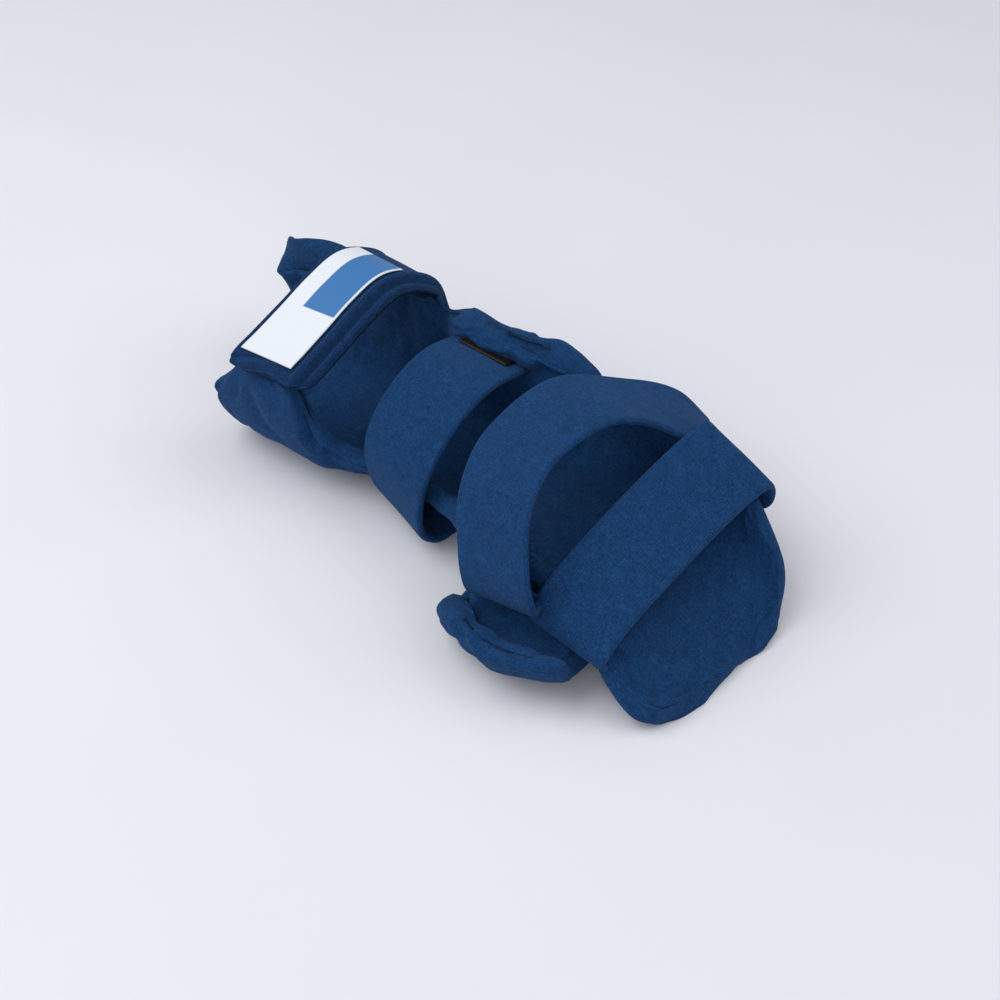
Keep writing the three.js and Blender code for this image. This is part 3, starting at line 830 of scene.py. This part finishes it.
# Smooth woven label cloth, heat cut: white with one plain blue field
label = {
    "white": "#dbe0e7",
    "blue": "#256ba8",
    "field": (0.036, 0.098),  # metres along the label
    "side": (0.0012, 0.0222),  # metres across it, from its fingertip edge
    "edge": 0.0004,  # metres over which the blue starts
    "thread": 0.7,  # millimetres between threads, drawn coarser than the real 0.2 so that they show
    "threadHeight": 0.0003,
    "roughness": 0.6,
    "sheen": 0.1,
}


def labelCloth(name, settings):
    # the blue field is the product of four soft steps, two along the label and two across it
    made, tree = newMaterial(name)
    cloth = addNode(tree, "ShaderNodeUVMap", uv_map="clothMap").outputs["UV"]
    parts = addNode(tree, "ShaderNodeSeparateXYZ", {"Vector": cloth})
    field = 1.0
    for axis, limits in (("X", settings["field"]), ("Y", settings["side"])):
        for start, (before, after) in zip(limits, ((0.0, 1.0), (1.0, 0.0))):
            step = addNode(
                tree,
                "ShaderNodeMapRange",
                {
                    "Value": parts.outputs[axis],
                    "From Min": start,
                    "From Max": start + settings["edge"],
                    "To Min": before,
                    "To Max": after,
                },
            ).outputs["Result"]
            field = addNode(tree, "ShaderNodeMath", {0: field, 1: step}, operation="MULTIPLY").outputs[0]
    white, blue = linear(settings["white"]), linear(settings["blue"])
    colour = addNode(tree, "ShaderNodeMix", {"Factor": field, 6: white, 7: blue}, data_type="RGBA")
    weave = addNode(
        tree,
        "ShaderNodeTexWave",
        {"Vector": cloth, "Scale": waveScale / settings["thread"], "Distortion": 0.3},
        bands_direction="DIAGONAL",
    ).outputs["Fac"]
    bump = addNode(
        tree, "ShaderNodeBump", {"Height": weave, "Strength": 0.2, "Distance": settings["threadHeight"]}
    ).outputs["Normal"]
    shader = addNode(
        tree,
        "ShaderNodeBsdfPrincipled",
        {
            "Base Color": colour.outputs[2],
            "Normal": bump,
            "Roughness": settings["roughness"],
            "Sheen Weight": settings["sheen"],
        },
    )
    addNode(tree, "ShaderNodeOutputMaterial", {"Surface": shader.outputs["BSDF"]})
    return made


# Nylon hook tape, woven with cut hooks: near black and grainy, with a browner frayed border
hook = {
    "apart": 1.5,  # millimetres between hooks
    "grain": 900.0,  # scale of the fibres' noise, for a grain of about 1.1 mm
    "height": 0.001,  # metres
    "deep": "#050506",
    "lit": "#191411",
    "tones": (0.35, 0.8),  # what counts as deepest and as lightest
    "border": "#2f2720",
    "fray": (0.0012, 0.0022),  # metres from the end over which the border stops
    "roughness": 0.8,
    "specular": 0.2,
}


def hookTape(name, settings):
    # the border is where the distance from the tape's end over the fibres' noise is small
    made, tree = newMaterial(name)
    cloth = addNode(tree, "ShaderNodeUVMap", uv_map="clothMap").outputs["UV"]
    hooks = addNode(
        tree, "ShaderNodeTexVoronoi", {"Vector": cloth, "Scale": 1000 / settings["apart"], "Randomness": 0.5}
    ).outputs["Distance"]
    fibre = addNode(
        tree, "ShaderNodeTexNoise", {"Vector": cloth, "Scale": settings["grain"], "Detail": 3.0}
    ).outputs["Fac"]
    parts = addNode(tree, "ShaderNodeSeparateXYZ", {"Vector": cloth})
    inwards = addNode(tree, "ShaderNodeMath", {0: parts.outputs["X"], 1: fibre}, operation="DIVIDE")
    low, high = settings["fray"]
    frayed = addNode(
        tree,
        "ShaderNodeMapRange",
        {"Value": inwards.outputs[0], "From Min": low, "From Max": high, "To Min": 1.0, "To Max": 0.0},
    ).outputs["Result"]
    tufts = addNode(tree, "ShaderNodeValToRGB", {"Fac": fibre})
    for stop, at, shade in zip(tufts.color_ramp.elements, settings["tones"], ("deep", "lit")):
        stop.position, stop.color = at, linear(settings[shade])
    tuft, border = tufts.outputs["Color"], linear(settings["border"])
    colour = addNode(tree, "ShaderNodeMix", {"Factor": frayed, 6: tuft, 7: border}, data_type="RGBA")
    bump = addNode(
        tree, "ShaderNodeBump", {"Height": hooks, "Strength": 0.9, "Distance": settings["height"]}
    ).outputs["Normal"]
    shader = addNode(
        tree,
        "ShaderNodeBsdfPrincipled",
        {
            "Base Color": colour.outputs[2],
            "Normal": bump,
            "Roughness": settings["roughness"],
            "Specular IOR Level": settings["specular"],
        },
    )
    addNode(tree, "ShaderNodeOutputMaterial", {"Surface": shader.outputs["BSDF"]})
    return made


# The forearm strap's binding is the same knit, darker and with a bolder rib
binding = {**knit, "deep": "#09203e", "body": "#0f2f55", "lit": "#163e69", "rib": 0.36}

navyKnit = brushedKnit("brushedNavyKnit", knit)
navyBinding = brushedKnit("navyBindingKnit", binding)
whiteLabel = labelCloth("wovenLabelCloth", label)
blackHook = hookTape("nylonHookTape", hook)
print("stage: materials")


# Riding and replacing
dressed = [
    (paddedBase, navyKnit, "navy_knit", ["forearm_trough", "palm_section", "finger_pan"]),
    (thumbRest, navyKnit, "navy_knit", ["thumb_rest"]),
    (forearmPiece, navyBinding, "navy_binding", ["forearm_strap"]),
    (wristPiece, navyKnit, "navy_knit", ["wrist_strap"]),
    (handPiece, navyKnit, "navy_knit", ["hand_strap"]),
    (fingerPiece, navyKnit, "navy_knit", ["finger_strap"]),
    (labelPiece, whiteLabel, "label_cloth", ["strap_label"]),
    (hookPiece, blackHook, "hook_tape", ["wrist_hook_patch"]),
    (handTabPiece, blackHook, "hook_tape", ["hand_hook_tab"]),
    (fingerTabPiece, blackHook, "hook_tape", ["finger_hook_tab"]),
]
for piece, material, slot, stoodFor in dressed:
    piece.data.materials.append(material)
    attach(piece, "root")
    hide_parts(*stoodFor)
print("stage: pieces ride")


# Plain pale floor and soft studio light
studio = {
    "floor": "#dedfe5",
    "floorLit": "#e0e1e7",
    "floorHalf": 60,  # metres
    "sky": "#e9eaf1",
    "skyPower": 0.55,
    "aim": (0.16, 0.0, 0.03),
    "lamps": [  # place and size in metres, power in watts
        ((-0.5, -0.6, 1.3), 1.4, 15.0),
        ((0.9, 0.7, 1.2), 1.2, 6.0),
        ((0.9, -1.1, 0.9), 1.0, 4.2),
    ],
}


def makeFloor(settings):
    # matt painted board, very slightly uneven in tone
    mesh = bpy.data.meshes.new("studioFloor")
    half = settings["floorHalf"]
    corners = [(-half, -half, 0), (half, -half, 0), (half, half, 0), (-half, half, 0)]
    mesh.from_pydata(corners, [], [(0, 1, 2, 3)])
    floor = bpy.data.objects.new("studioFloor", mesh)
    bpy.context.scene.collection.objects.link(floor)
    made, tree = newMaterial("mattPaintedFloor")
    place = addNode(tree, "ShaderNodeTexCoord").outputs["Object"]
    grain = addNode(tree, "ShaderNodeTexNoise", {"Vector": place, "Scale": 6.0, "Detail": 2.0})
    colour = addNode(tree, "ShaderNodeValToRGB", {"Fac": grain.outputs["Fac"]})
    for stop, at, shade in zip(colour.color_ramp.elements, (0.3, 0.7), ("floor", "floorLit")):
        stop.position, stop.color = at, linear(settings[shade])
    shader = addNode(
        tree, "ShaderNodeBsdfPrincipled", {"Base Color": colour.outputs["Color"], "Roughness": 0.9}
    )
    addNode(tree, "ShaderNodeOutputMaterial", {"Surface": shader.outputs["BSDF"]})
    mesh.materials.append(made)


def makeLights(settings):
    # a pale sky, and square softboxes turned to the middle of the splint
    world = bpy.data.worlds.new("studioSky")
    world.use_nodes = True
    sky = world.node_tree.nodes["Background"]
    sky.inputs["Color"].default_value = linear(settings["sky"])
    sky.inputs["Strength"].default_value = settings["skyPower"]
    bpy.context.scene.world = world
    for k, (place, size, power) in enumerate(settings["lamps"]):
        data = bpy.data.lights.new("softbox%d" % k, "AREA")
        data.shape, data.size, data.energy = "SQUARE", size, power
        lamp = bpy.data.objects.new("softbox%d" % k, data)
        lamp.matrix_world = lookingFrom(place, Vector(place) - Vector(settings["aim"]))
        bpy.context.scene.collection.objects.link(lamp)
    bpy.context.scene.view_settings.view_transform = "Standard"


makeFloor(studio)
makeLights(studio)
print("stage: studio")
